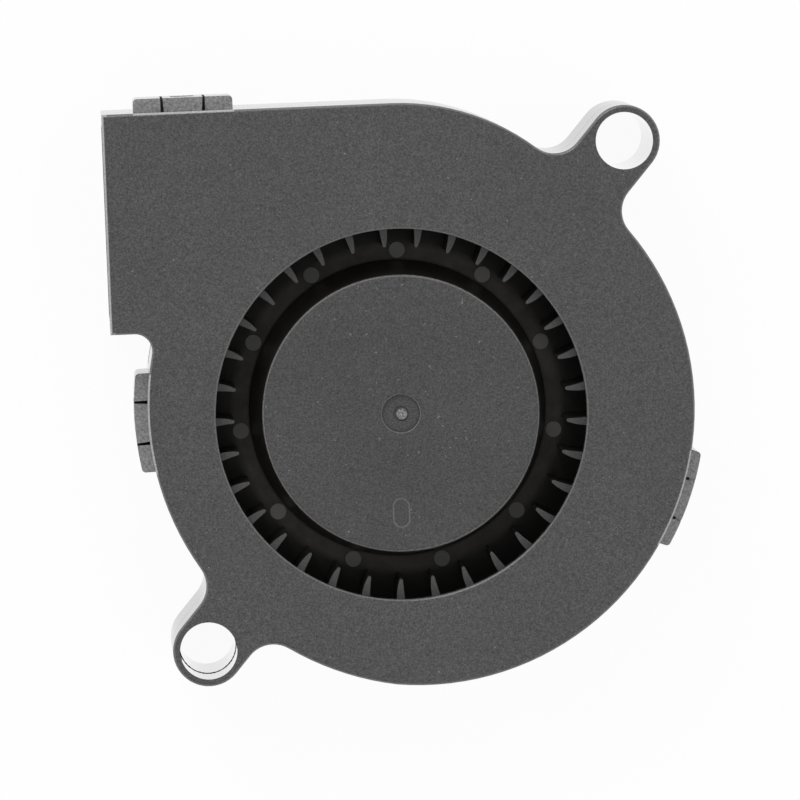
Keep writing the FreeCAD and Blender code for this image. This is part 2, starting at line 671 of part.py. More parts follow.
# Front cover: front plate with the inlet, and the upper part of the wall, which
# is grooved at the joint to go over the lower shell's lip
front_cover = new_body("front_cover")
outline = new_sketch(front_cover, "cover_outline", "XY_Plane", "seam_height")
scroll_outline(outline, "0", OUTLET_REACH)
pad(front_cover, outline, "case_depth - seam_height")
add_ears(front_cover, "cover_", "seam_height", "case_depth - seam_height")
fillet(front_cover, meets_ear, "ear_fillet", "cover_ear_fillets")
fillet(front_cover, lambda edge: at_height(edge, number("case_depth")), "face_round", "cover_face_round")
cavity = new_sketch(front_cover, "cover_cavity", "XY_Plane", "seam_height")
scroll_outline(cavity, "wall", OUTLET_REACH + " + cut_over")
pocket(front_cover, cavity, "case_depth - plate - seam_height", upward=True)
groove = new_sketch(front_cover, "lip_groove", "XY_Plane", "seam_height")
scroll_outline(groove, "wall / 2", OUTLET_REACH + " + cut_over")
pocket(front_cover, groove, "lip_height + lip_clearance", upward=True)
inlet = new_sketch(front_cover, "inlet", "XY_Plane", "case_depth")
circle(inlet, "0", "0", "inlet_radius")
pocket(front_cover, inlet, "plate + cut_over")
fillet(front_cover,
       lambda edge: at_height(edge, number("case_depth"))
       and abs(edge.BoundBox.XLength - 2 * number("inlet_radius")) < 1e-3,
       "inlet_round", "inlet_lip")
drill_ears(front_cover, "cover_", "case_depth", "case_depth - seam_height")
sprue = new_sketch(front_cover, "sprue", "XY_Plane", "seam_height", "sprue_turn", "main_arc_x", MAIN_ARC_Y)
circle(sprue, MAIN_RADIUS, "0", "sprue_radius")
pad(front_cover, sprue, "sprue_height")
add_guards(front_cover, "cover_", "seam_height", "clip_rise", False)
add_tongues(front_cover)

# Rear housing: rear plate, lower part of the wall, motor boss and board posts
rear_housing = new_body("rear_housing")
outline = new_sketch(rear_housing, "housing_outline")
scroll_outline(outline, "0", OUTLET_REACH)
pad(rear_housing, outline, "seam_height")
add_ears(rear_housing, "housing_", "0", "seam_height")
fillet(rear_housing, meets_ear, "ear_fillet", "housing_ear_fillets")
fillet(rear_housing, lambda edge: at_height(edge, 0), "face_round", "housing_face_round")
lip = new_sketch(rear_housing, "lip", "XY_Plane", "seam_height")
scroll_outline(lip, "(wall / 2 + lip_clearance)", OUTLET_REACH)
pad(rear_housing, lip, "lip_height")
cavity = new_sketch(rear_housing, "housing_cavity", "XY_Plane", "seam_height + lip_height")
scroll_outline(cavity, "wall", OUTLET_REACH + " + cut_over")
pocket(rear_housing, cavity, "seam_height + lip_height - plate")
drill_ears(rear_housing, "housing_", "seam_height", "seam_height")
add_guards(rear_housing, "housing_", CLIP_BOTTOM + " - rest_gap - rest_height",
           "clip_drop + rest_gap + rest_height", True)
add_catches(rear_housing)
boss = new_sketch(rear_housing, "motor_boss", "XY_Plane", "plate")
circle(boss, "0", "0", SHEET_BORE + " + boss_wall")
circle(boss, "0", "0", SHEET_BORE)
pad(rear_housing, boss, "boss_height")
post = new_sketch(rear_housing, "board_post", "XY_Plane", "plate")
circle(post, "post_ring", "0", "post_radius")
post_pad = pad(rear_housing, post, "post_height")
repeat(rear_housing, post_pad, "post_count", "board_posts")
slot = new_sketch(rear_housing, "lead_slot", "XY_Plane", "plate + wire_slot")
polygon(slot, [
    ("-1 * %s - cut_over" % OUTLET_REACH, "wire_slot_y - wire_slot / 2"),
    ("cut_over - impeller_radius", "wire_slot_y - wire_slot / 2"),
    ("cut_over - impeller_radius", "wire_slot_y + wire_slot / 2"),
    ("-1 * %s - cut_over" % OUTLET_REACH, "wire_slot_y + wire_slot / 2"),
])
pocket(rear_housing, slot, "wire_slot")

# Impeller: one moulding that carries the steel cup
impeller = new_body("impeller")
section = new_sketch(impeller, "impeller_section", "XZ_Plane")
polygon(section, [
    ("0", HUB_TOP),
    (HUB_RADIUS, HUB_TOP),
    (HUB_FOOT_RADIUS, DISC_TOP),
    ("impeller_radius", DISC_TOP),
    ("impeller_radius", DISC_FOOT),
    ("yoke_radius + glue_gap", DISC_FOOT),
    ("yoke_radius + glue_gap", HUB_TOP + " - hub_skin"),
    ("0", HUB_TOP + " - hub_skin"),
])
revolve(impeller, section)
fillet(impeller, lambda edge: at_height(edge, number(HUB_TOP)), "hub_round", "hub_edge")
rim = new_sketch(impeller, "rim", "XY_Plane", BLADE_TOP + " - rim_height")
circle(rim, "0", "0", "impeller_radius")
circle(rim, "0", "0", "impeller_radius - rim_width")
pad(impeller, rim, "rim_height")


def blade_outline(sketch):
    """Crescent between two arcs, with a round inner end and its outer end in the rim."""
    tip = number("blade_tip")
    back_radius = number("blade_back")
    face_radius = number("blade_face")
    reach = number(BLADE_REACH)
    heights = ["%s * sin(blade_sweep) %s blade_end / 2" % (BLADE_REACH, sign) for sign in "-+"]
    low, high = [(math.sqrt(reach ** 2 - number(text) ** 2), number(text)) for text in heights]
    inner = (number(BLADE_START + " + blade_tip"), 0.0)
    back_centre = meet(inner, back_radius - tip, low, back_radius, 1)
    face_centre = meet(inner, face_radius + tip, high, face_radius, 1)
    back = arc(sketch, back_centre, back_radius,
               bearing_of(back_centre, inner) % 360, bearing_of(back_centre, low) % 360)
    end = arc(sketch, (0, 0), reach, bearing_of((0, 0), low), bearing_of((0, 0), high))
    face = arc(sketch, face_centre, face_radius,
               bearing_of(face_centre, inner) % 360, bearing_of(face_centre, high) % 360)
    tail = arc(sketch, inner, tip, bearing_of(inner, face_centre) % 360,
               bearing_of(back_centre, inner) % 360)
    join(sketch, back, 2, end, 1)
    join(sketch, end, 2, face, 2)
    join(sketch, face, 1, tail, 1, "Tangent")
    join(sketch, tail, 2, back, 1, "Tangent")
    join(sketch, end, 3, -1, 1)
    dimension(sketch, "Radius", (back,), "blade_back")
    dimension(sketch, "Radius", (face,), "blade_face")
    dimension(sketch, "Radius", (tail,), "blade_tip")
    dimension(sketch, "Radius", (end,), BLADE_REACH)
    place_point(sketch, tail, 3, BLADE_START + " + blade_tip", "0")
    for point, height in enumerate(heights, 1):
        dimension(sketch, "DistanceY", (-1, 1, end, point), height)

DISC_MIDDLE = "(%s + disc_skin / 2)" % DISC_FOOT
blade = new_sketch(impeller, "blade", "XY_Plane", DISC_MIDDLE, "blade_phase")
blade_outline(blade)
blade_pad = pad(impeller, blade, "%s - %s" % (BLADE_TOP, DISC_MIDDLE))
repeat(impeller, blade_pad, "blade_count", "blades")
pad_phase = "blade_phase + 360 / blade_count * pad_every / 2"
floor_pad = new_sketch(impeller, "floor_pad", "XY_Plane", DISC_MIDDLE, pad_phase)
circle(floor_pad, HUB_FOOT_RADIUS + " + pad_gap", "0", "pad_radius")
floor_pad_pad = pad(impeller, floor_pad, "disc_skin / 2 + pad_height")
repeat(impeller, floor_pad_pad, "blade_count / pad_every", "floor_pads")
dimple = new_sketch(impeller, "dimple", "XY_Plane", HUB_TOP)
circle(dimple, "0", "0", "dimple_radius")
pocket(impeller, dimple, "dimple_depth")
fillet(impeller,
       lambda edge: at_height(edge, number(HUB_TOP))
       and abs(edge.BoundBox.XLength - 2 * number("dimple_radius")) < 1e-3,
       "dimple_round", "dimple_rim")
gate = new_sketch(impeller, "gate", "XY_Plane", HUB_TOP + " - dimple_depth")
circle(gate, "0", "0", "gate_radius")
pocket(impeller, gate, "gate_depth")
stub = new_sketch(impeller, "gate_stub", "XY_Plane", HUB_TOP + " - dimple_depth - gate_depth")
circle(stub, "stub_shift", "-stub_shift", "stub_radius")
pad(impeller, stub, "stub_height")
mark = new_sketch(impeller, "mould_mark", "XY_Plane", HUB_TOP, "0", "mark_shift", "-mark_drop")


def obround(sketch, width, length):
    """Upright slot outline, centred on the sketch's origin."""
    radius = number(width) / 2
    straight = "(%s - %s) / 2" % (length, width)
    rise = number(straight)
    upper = arc(sketch, (0, rise), radius, 0, 180)
    left = line(sketch, (-radius, rise), (-radius, -rise))
    lower = arc(sketch, (0, -rise), radius, 180, 360)
    right = line(sketch, (radius, -rise), (radius, rise))
    join(sketch, upper, 2, left, 1, "Tangent")
    join(sketch, left, 2, lower, 1, "Tangent")
    join(sketch, lower, 2, right, 1, "Tangent")
    join(sketch, right, 2, upper, 1, "Tangent")
    dimension(sketch, "Radius", (upper,), width + " / 2")
    place_point(sketch, upper, 3, "0", straight)
    place_point(sketch, lower, 3, "0", "-1 * " + straight)


obround(mark, "mark_width", "mark_length")
pocket(impeller, mark, "mark_depth")

# Steel cup, ring magnet, bush, shaft, clip and oil ring turn with the impeller
rotor_yoke = turned_part("rotor_yoke", [
    (BUSH_NECK + " + glue_gap", YOKE_TOP),
    ("yoke_radius", YOKE_TOP),
    ("yoke_radius", YOKE_FOOT),
    (YOKE_BORE, YOKE_FOOT),
    (YOKE_BORE, YOKE_CEILING),
    (BUSH_NECK + " + glue_gap", YOKE_CEILING),
])
fillet(rotor_yoke, lambda edge: at_height(edge, number(YOKE_TOP))
       and edge.BoundBox.XLength > number("yoke_radius"), "yoke_round", "cup_shoulder")
rotor_magnet = ring("rotor_magnet", MAGNET_BORE, MAGNET_RADIUS, YOKE_FOOT + " + magnet_inset",
                    YOKE_CEILING + " - magnet_drop")
hub_bush = turned_part("hub_bush", [
    ("shaft_radius + glue_gap", BUSH_FOOT),
    (BUSH_NECK + " + bush_step", BUSH_FOOT),
    (BUSH_NECK + " + bush_step", BUSH_TOP),
    (BUSH_NECK, BUSH_TOP),
    (BUSH_NECK, YOKE_TOP),
    ("shaft_radius + glue_gap", YOKE_TOP),
])
shaft = turned_part("shaft", [
    ("0", SHAFT_FOOT),
    ("shaft_radius", SHAFT_FOOT),
    ("shaft_radius", GROOVE_FOOT),
    (GROOVE_RADIUS, GROOVE_FOOT),
    (GROOVE_RADIUS, GROOVE_TOP),
    ("shaft_radius", GROOVE_TOP),
    ("shaft_radius", YOKE_TOP),
    ("0", YOKE_TOP),
])
retaining_clip = ring("retaining_clip", GROOVE_RADIUS + " + glue_gap / 2", "shaft_radius + clip_wall",
                      GROOVE_FOOT + " + glue_gap", GROOVE_TOP + " - glue_gap")
slit = new_sketch(retaining_clip, "clip_slit", "XY_Plane", GROOVE_TOP)
polygon(slit, [
    ("0", "-groove_depth"),
    ("shaft_radius + clip_wall + cut_over", "-groove_depth"),
    ("shaft_radius + clip_wall + cut_over", "groove_depth"),
    ("0", "groove_depth"),
])
pocket(retaining_clip, slit, "groove_width")
oil_ring = ring("oil_ring", "shaft_radius + glue_gap / 2", TUBE_BORE + " - ring_gap",
                RING_FOOT, RING_FOOT + " + ring_height")

# Bearing: brass tube in the boss, sintered sleeve and a thrust pad below the shaft
bearing_tube = ring("bearing_tube", TUBE_BORE, "tube_radius", "plate", TUBE_TOP)
sleeve_bearing = ring("sleeve_bearing", "shaft_radius + running_gap", TUBE_BORE + " - glue_gap",
                      GROOVE_TOP + " + bearing_rise", RING_FOOT + " - ring_gap")
thrust_pad = turned_part("thrust_pad", [
    ("0", "plate"),
    (TUBE_BORE + " - glue_gap", "plate"),
    (TUBE_BORE + " - glue_gap", "plate + thrust_height"),
    ("0", "plate + thrust_height"),
])

# Stator: as many sheets as the cup has room for, between two moulded insulators
STACK_ROOM = "(%s - coil_room - %s - coil_clearance - liner_plate - glue_gap - %s)" % (
    YOKE_CEILING, COIL_HEIGHT, STACK_FOOT)
SHEET_PITCH = "(sheet_height + sheet_coat)"
SHEET_COUNT = math.floor(number("%s / %s" % (STACK_ROOM, SHEET_PITCH)))
STACK_TOP = "(%s + %d * %s)" % (STACK_FOOT, SHEET_COUNT, SHEET_PITCH)
UPPER_PLATE = "(%s + glue_gap)" % STACK_TOP
POLES = round(number("pole_count"))


def sector(sketch, inner, outer, span):
    """Closed piece of a ring, centred on the sketch's X axis."""
    low = number(inner)
    high = number(outer)
    half = number(span) / 2
    tip = math.radians(half)
    outside = arc(sketch, (0, 0), high, -half, half)
    inside = arc(sketch, (0, 0), low, -half, half)
    upper = line(sketch, (high * math.cos(tip), high * math.sin(tip)),
                 (low * math.cos(tip), low * math.sin(tip)))
    lower = line(sketch, (low * math.cos(tip), -low * math.sin(tip)),
                 (high * math.cos(tip), -high * math.sin(tip)))
    join(sketch, outside, 2, upper, 1)
    join(sketch, upper, 2, inside, 2)
    join(sketch, inside, 1, lower, 1)
    join(sketch, lower, 2, outside, 1)
    join(sketch, outside, 3, -1, 1)
    join(sketch, inside, 3, -1, 1)
    dimension(sketch, "Radius", (outside,), outer)
    dimension(sketch, "Radius", (inside,), inner)
    for edge, end, radius, sign in ((outside, 2, outer, 1), (inside, 2, inner, 1),
                                    (inside, 1, inner, -1), (outside, 1, outer, -1)):
        dimension(sketch, "DistanceY", (-1, 1, edge, end), "%d * (%s) * sin(%s / 2)" % (sign, radius, span))


def four_poles(body, prefix, foot, height, neck, shoe_inner, shoe_outer, span):
    """Ring with four necks and shoes round the bearing tube."""
    core = new_sketch(body, prefix + "_core", "XY_Plane", foot)
    circle(core, "0", "0", STACK_RING)
    pad(body, core, height)
    pole = new_sketch(body, prefix + "_pole", "XY_Plane", foot)
    polygon(pole, [
        ("tube_radius", "-(%s) / 2" % neck),
        (shoe_inner + " + shoe_height / 2", "-(%s) / 2" % neck),
        (shoe_inner + " + shoe_height / 2", "(%s) / 2" % neck),
        ("tube_radius", "(%s) / 2" % neck),
    ])
    repeat(body, pad(body, pole, height), "pole_count", prefix + "_poles")
    shoe = new_sketch(body, prefix + "_shoe", "XY_Plane", foot)
    sector(shoe, shoe_inner, shoe_outer, span)
    repeat(body, pad(body, shoe, height), "pole_count", prefix + "_shoes")
    bore = new_sketch(body, prefix + "_bore", "XY_Plane", foot)
    circle(bore, "0", "0", SHEET_BORE)
    pocket(body, bore, height, upward=True)


stator_sheet = new_body("stator_sheet")
four_poles(stator_sheet, "sheet", STACK_FOOT, "sheet_height", "pole_neck",
           SHOE_INNER, STATOR_RADIUS, "pole_span")
doc.recompute()
stator_laminations = doc.addObject("Part::Feature", "stator_laminations")
stator_laminations.Label = "stator_laminations"
stator_laminations.Shape = Part.makeCompound([
    stator_sheet.Shape.translated(V(0, 0, i * number(SHEET_PITCH)))
    for i in range(SHEET_COUNT)
])


def insulator(name, foot, wall_foot):
    """Moulded end piece: a liner plate with an inner collar and outer walls."""
    body = new_body(name)
    four_poles(body, name, foot, "liner_plate", "pole_neck + 2 * liner",
               SHOE_INNER, STATOR_RADIUS + " - liner", "liner_span")
    collar = new_sketch(body, name + "_collar", "XY_Plane", wall_foot)
    circle(collar, "0", "0", STACK_RING)
    circle(collar, "0", "0", SHEET_BORE)
    pad(body, collar, "liner_wall + liner_plate / 2")
    screen = new_sketch(body, name + "_screen", "XY_Plane", wall_foot)
    sector(screen, SHOE_INNER, SHOE_INNER + " + liner", "liner_span")
    repeat(body, pad(body, screen, "liner_wall + liner_plate / 2"), "pole_count", name + "_screens")
    return body


upper_insulator = insulator("upper_insulator", UPPER_PLATE, UPPER_PLATE + " + liner_plate / 2")
lower_insulator = insulator("lower_insulator", LOWER_PLATE, LOWER_PLATE + " - liner_wall")


def winding(name, turn):
    """Copper winding round one pole; its outer end stops at the shoes' curve."""
    body = new_body(name)
    sketch = new_sketch(body, name + "_section", "YZ_Plane", STACK_RING + " + coil_clearance")
    half = "(pole_neck / 2 + liner + coil_clearance)"
    low = LOWER_PLATE + " - coil_clearance"
    high = UPPER_PLATE + " + liner_plate + coil_clearance"
    inner = [("-1 * " + half, low), (half, low), (half, high), ("-1 * " + half, high)]
    wide = "(%s + coil_width)" % half
    under = "%s - %s" % (low, COIL_HEIGHT)
    over = "%s + %s" % (high, COIL_HEIGHT)
    outer = [("-1 * " + wide, under), (wide, under), (wide, over), ("-1 * " + wide, over)]
    polygon(sketch, inner)
    polygon(sketch, outer)
    pad(body, sketch, "sqrt(%s ^ 2 - %s ^ 2) - %s - 2 * coil_clearance" % (SHOE_INNER, wide, STACK_RING))
    fillet(body, lambda edge: edge.BoundBox.YLength + edge.BoundBox.ZLength < 1e-4
           and abs(edge.BoundBox.YMax) > number(half) + 1e-3, "coil_round", name + "_round")
    body.Placement = FreeCAD.Placement(V(0, 0, 0), FreeCAD.Rotation(V(0, 0, 1), turn))
    return body


coils = [winding("coil_%d" % (i + 1), 360 / POLES * i) for i in range(POLES)]

# Circuit board on its posts, with the driver and its small parts
circuit_board = new_body("circuit_board")
board = new_sketch(circuit_board, "board", "XY_Plane", BOARD_FOOT)
circle(board, "0", "0", BOARD_RADIUS)
circle(board, "0", "0", SHEET_BORE + " + boss_wall + board_clearance")
pad(circuit_board, board, "board_height")
pin_hole = new_sketch(circuit_board, "pin_hole", "XY_Plane", BOARD_TOP, "180 / pole_count")
circle(pin_hole, PIN_RING, "0", "pin_radius + glue_gap")
repeat(circuit_board, pocket(circuit_board, pin_hole, "board_height"), "pole_count", "pin_holes")
lug = new_sketch(lower_insulator, "pin_lug", "XY_Plane", LOWER_PLATE, "180 / pole_count")
circle(lug, PIN_RING, "0", "pin_lug_radius")
repeat(lower_insulator, pad(lower_insulator, lug, "liner_plate"), "pole_count", "pin_lugs")


def group(name, pieces):
    """Several like solids that share one node."""
    compound = doc.addObject("Part::Compound", name)
    compound.Label = name
    compound.Links = pieces
    return compound


def place(item, radius, angle, height):
    """Put a primitive at a radius and angle about the rotor axis."""
    bind(item, "Placement.Base.x", "(%s) * cos(%s)" % (radius, angle))
    bind(item, "Placement.Base.y", "(%s) * sin(%s)" % (radius, angle))
    bind(item, "Placement.Base.z", height)


pins = []
joints = []
for pole in range(POLES):
    angle = "%d * 180 / pole_count" % (2 * pole + 1)
    pin = doc.addObject("Part::Cylinder", "pin_%d" % (pole + 1))
    bind(pin, "Radius", "pin_radius")
    bind(pin, "Height", LOWER_PLATE + " - " + BOARD_FOOT)
    place(pin, PIN_RING, angle, BOARD_FOOT)
    pins.append(pin)
    joint = doc.addObject("Part::Cone", "joint_%d" % (pole + 1))
    bind(joint, "Radius1", "solder_radius / 2")
    bind(joint, "Radius2", "solder_radius")
    bind(joint, "Height", "solder_height")
    place(joint, PIN_RING, angle, BOARD_FOOT + " - solder_height")
    joints.append(joint)
terminal_pins = group("terminal_pins", pins)
solder_joints = group("solder_joints", joints)

lands = []
for side in (-1, 1):
    land = doc.addObject("Part::Cone", "land_%d" % (side + 2))
    bind(land, "Radius1", "land_radius")
    bind(land, "Radius2", "solder_radius")
    bind(land, "Height", "land_height")
    place(land, PART_RING, "land_turn + %d * land_spread" % side, BOARD_TOP)
    lands.append(land)
lead_lands = group("lead_lands", lands)


def block(body, name, turn, near, far, half, foot, height):
    """Raise a rectangle that lies across a radius of the board."""
    sketch = new_sketch(body, name, "XY_Plane", foot, turn)
    polygon(sketch, [(near, "-1 * (%s)" % half), (far, "-1 * (%s)" % half), (far, half), (near, half)])
    return pad(body, sketch, height)


def chip(name, turn, length, width, height, legs):
    """Small surface-mount part: a moulded block with flat metal feet."""
    body = new_body(name)
    near = "%s - %s / 2" % (PART_RING, width)
    far = "%s + %s / 2" % (PART_RING, width)
    block(body, name + "_block", turn, near, far, "%s / 2" % length, BOARD_TOP, height)
    fillet(body, lambda edge: at_height(edge, number(BOARD_TOP + " + " + height)),
           "chip_round", name + "_round")
    for leg, (low, high) in enumerate(legs):
        sketch = new_sketch(body, "%s_foot_%d" % (name, leg + 1), "XY_Plane", BOARD_TOP, turn)
        near = "%s + %s" % (PART_RING, low[0])
        far = "%s + %s" % (PART_RING, high[0])
        polygon(sketch, [(near, low[1]), (far, low[1]), (far, high[1]), (near, high[1])])
        pad(body, sketch, "foot_height")
    return body


def side_feet(width, middle):
    """A foot out of each long side of a chip, at a place along its length."""
    reach = width + " / 2 + foot_reach"
    low = middle + " - foot_width / 2"
    high = middle + " + foot_width / 2"
    return [((width + " / 4", low), (reach, high)), (("-(%s)" % reach, low), ("-%s / 4" % width, high))]


def end_feet(length, width):
    """A full-width foot out of each end of a two-terminal part."""
    reach = length + " / 2 + foot_reach / 2"
    half = width + " / 2 - foot_height"
    return [(("-(%s)" % half, length + " / 4"), (half, reach)),
            (("-(%s)" % half, "-(%s)" % reach), (half, "-%s / 4" % length))]


driver_chip = chip("driver_chip", "driver_turn", "driver_length", "driver_width", "driver_height",
                   side_feet("driver_width", "-driver_length / 3")
                   + side_feet("driver_width", "driver_length / 3"))
board_capacitor = chip("board_capacitor", "capacitor_turn", "capacitor_length", "capacitor_width",
                       "capacitor_height", end_feet("capacitor_length", "capacitor_width"))
board_resistor = chip("board_resistor", "resistor_turn", "resistor_length", "resistor_width",
                      "resistor_height", end_feet("resistor_length", "resistor_width"))
board_diode = chip("board_diode", "diode_turn", "diode_length", "diode_width", "diode_height",
                   end_feet("diode_length", "diode_width"))

NODES = (
    front_cover, rear_housing, impeller, rotor_yoke, rotor_magnet, hub_bush, shaft, retaining_clip,
    oil_ring, bearing_tube, sleeve_bearing, thrust_pad, stator_laminations, upper_insulator,
    lower_insulator, *coils, circuit_board, terminal_pins, solder_joints, lead_lands, driver_chip,
    board_capacitor, board_resistor, board_diode,
)

doc.recompute()
failed = [item.Name for item in doc.Objects if "Invalid" in item.State or "Error" in item.State]
if failed:
    raise RuntimeError("these objects failed: " + ", ".join(failed))
os.makedirs("parts", exist_ok=True)
for node in NODES:
    shape = node.Shape
    if shape.isNull() or not shape.isValid() or not shape.Solids:
        raise RuntimeError(node.Label + " has no sound solid")
    print("%-20s %2d solid(s) %9.2f mm3" % (node.Label, len(shape.Solids), shape.Volume))
for node in NODES:
    node.Shape.exportStep("parts/%s.step" % node.Label)
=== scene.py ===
import json
import math

import bpy
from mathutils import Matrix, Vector


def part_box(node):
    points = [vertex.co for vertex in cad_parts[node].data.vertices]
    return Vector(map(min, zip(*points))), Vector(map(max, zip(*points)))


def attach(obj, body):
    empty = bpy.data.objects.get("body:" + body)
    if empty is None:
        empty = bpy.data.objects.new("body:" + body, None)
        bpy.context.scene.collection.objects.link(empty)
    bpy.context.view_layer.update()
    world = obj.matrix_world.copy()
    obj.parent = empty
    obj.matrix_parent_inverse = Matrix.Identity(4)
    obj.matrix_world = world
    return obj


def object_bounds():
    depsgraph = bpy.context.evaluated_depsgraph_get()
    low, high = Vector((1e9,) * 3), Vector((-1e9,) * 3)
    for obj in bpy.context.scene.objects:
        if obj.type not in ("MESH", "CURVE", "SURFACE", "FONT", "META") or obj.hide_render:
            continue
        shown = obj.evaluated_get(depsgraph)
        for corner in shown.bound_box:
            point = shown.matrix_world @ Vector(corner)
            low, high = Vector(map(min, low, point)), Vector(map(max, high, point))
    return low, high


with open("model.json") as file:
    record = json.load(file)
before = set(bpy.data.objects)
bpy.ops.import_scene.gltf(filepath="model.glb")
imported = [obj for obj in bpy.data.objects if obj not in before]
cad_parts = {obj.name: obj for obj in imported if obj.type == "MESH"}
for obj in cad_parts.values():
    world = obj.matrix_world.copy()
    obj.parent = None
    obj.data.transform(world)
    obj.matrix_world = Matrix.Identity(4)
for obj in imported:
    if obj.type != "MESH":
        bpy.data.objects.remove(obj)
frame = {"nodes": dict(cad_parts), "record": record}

cad_low, cad_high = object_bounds()

# The rear housing: an injection-moulded tray of black glass-filled plastic. Its flat
# faces carry the mould's eroded grain, its walls and screw holes came off polished
# steel, and its rounded edges are painted paler as a painted highlight, brightest at
# the clips and the outlet's edge.


class Finish:
    """A material in the making, patterned on the piece's own coordinates."""

    def __init__(self, name):
        self.material = bpy.data.materials.new(name)
        self.material.use_nodes = True
        self.nodes = self.material.node_tree.nodes
        self.links = self.material.node_tree.links
        self.shader = self.nodes["Principled BSDF"]
        where = self.nodes.new("ShaderNodeTexCoord")
        self.place = where.outputs["Object"]
        self.facing = where.outputs["Normal"]

    def feed(self, socket, value):
        """Link a socket's source, or set its plain number or colour."""
        if isinstance(value, bpy.types.NodeSocket):
            self.links.new(value, socket)
        elif isinstance(value, tuple) and len(socket.default_value) == 4:
            socket.default_value = (*value, 1)
        else:
            socket.default_value = value

    def calc(self, operation, *values):
        """One step of arithmetic on sockets and numbers."""
        node = self.nodes.new("ShaderNodeMath")
        node.operation = operation
        for socket, value in zip(node.inputs, values):
            self.feed(socket, value)
        return node.outputs["Value"]

    def part(self, vector, axis):
        """One coordinate of a vector."""
        node = self.nodes.new("ShaderNodeSeparateXYZ")
        self.links.new(vector, node.inputs["Vector"])
        return node.outputs[axis]

    def above(self, value, edge, soft):
        """0 below an edge and 1 above it, with a step that is soft on each side."""
        node = self.nodes.new("ShaderNodeMapRange")
        node.inputs["From Min"].default_value = edge - soft
        node.inputs["From Max"].default_value = edge + soft
        self.feed(node.inputs["Value"], value)
        return node.outputs["Result"]

    def within(self, value, low, high, soft):
        """1 between two edges."""
        return self.calc("SUBTRACT", self.above(value, low, soft), self.above(value, high, soft))

    def near(self, value, middle, reach, soft):
        """1 within reach of a value, on both sides of it."""
        return self.within(value, middle - reach, middle + reach, soft)

    def both(self, *masks):
        """1 only where every mask is 1: their product."""
        product = masks[0]
        for mask in masks[1:]:
            product = self.calc("MULTIPLY", product, mask)
        return product

    def opposite(self, mask):
        """1 where a mask is 0."""
        return self.calc("SUBTRACT", 1.0, mask)

    def noise(self, cells, detail=2.0, roughness=0.5, squeeze=None):
        """Noise with so many cells per metre, squeezed along an axis above 1, drawn out below it."""
        texture = self.nodes.new("ShaderNodeTexNoise")
        texture.inputs["Scale"].default_value = cells
        texture.inputs["Detail"].default_value = detail
        texture.inputs["Roughness"].default_value = roughness
        place = self.place
        if squeeze:
            mapping = self.nodes.new("ShaderNodeMapping")
            mapping.inputs["Scale"].default_value = squeeze
            self.links.new(place, mapping.inputs["Vector"])
            place = mapping.outputs["Vector"]
        self.links.new(place, texture.inputs["Vector"])
        return texture.outputs["Fac"]

    def ramp(self, value, *stops):
        """Colour ramp over pairs of a position and a grey or a colour."""
        node = self.nodes.new("ShaderNodeValToRGB")
        elements = node.color_ramp.elements
        while len(elements) < len(stops):
            elements.new(0.5)
        for element, (position, tone) in zip(elements, stops):
            element.position = position
            element.color = (*tone, 1) if isinstance(tone, tuple) else (tone, tone, tone, 1)
        self.links.new(value, node.inputs["Fac"])
        return node.outputs["Color"]

    def blend(self, kind, factor, first, second):
        """Mix two colours, each a socket or a plain colour."""
        node = self.nodes.new("ShaderNodeMix")
        node.data_type = "RGBA"
        node.blend_type = kind
        factor_socket, first_socket, second_socket = node.inputs[0], node.inputs[6], node.inputs[7]
        self.feed(factor_socket, factor)
        self.feed(first_socket, first)
        self.feed(second_socket, second)
        mixed_colour = node.outputs[2]
        return mixed_colour

    def times(self, first, *others):
        """Colours multiplied, such as a plain colour and the patterns that shade it."""
        product = first
        for other in others:
            product = self.blend("MULTIPLY", 1.0, product, other)
        return product

    def relief(self, *layers):
        """Bumps on bumps: each a height, its depth in metres and its strength."""
        normal = None
        for height, depth, strength in layers:
            node = self.nodes.new("ShaderNodeBump")
            node.inputs["Distance"].default_value = depth
            node.inputs["Strength"].default_value = strength
            self.links.new(height, node.inputs["Height"])
            if normal:
                self.links.new(normal, node.inputs["Normal"])
            normal = node.outputs["Normal"]
        self.links.new(normal, self.shader.inputs["Normal"])

    def look(self, **sockets):
        """Feed the shader's own sockets, named with underscores for spaces."""
        for name, value in sockets.items():
            self.feed(self.shader.inputs[name.replace("_", " ")], value)

    def dress(self, *names):
        """Give CAD nodes this material."""
        for name in names:
            mesh = frame["nodes"][name].data
            mesh.materials.clear()
            mesh.materials.append(self.material)


MM = 0.001
lip_height = 0.6 * MM
clip_rise = 2.05 * MM
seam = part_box("rear_housing")[1].z - lip_height
clip_top = seam + clip_rise
front_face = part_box("front_cover")[1].z
edge_depth = 0.4 * MM
outlet_lip = -24.6 * MM
clip_middles = ((-17.9 * MM, 27.2 * MM), (-22.1 * MM, 0.0), (24.0 * MM, -8.5 * MM))
clip_half = 4.4 * MM
screw_holes = [item for item in frame["record"]["mounts"] if item["name"].startswith("screw_hole")]
hole_margin = 0.05 * MM
joint_half = 0.05 * MM
end_band = 0.1 * MM
sharp = 0.02 * MM
moulded_black = (0.0525, 0.0525, 0.0525)
edge_highlight_grey = (0.18, 0.18, 0.178)
strong_highlight_grey = (0.54, 0.54, 0.53)
gap_black = (0.006, 0.005, 0.004)
pale_ragged_tones = ((0.3, 0.12), (0.5, 0.26), (0.7, 0.4))


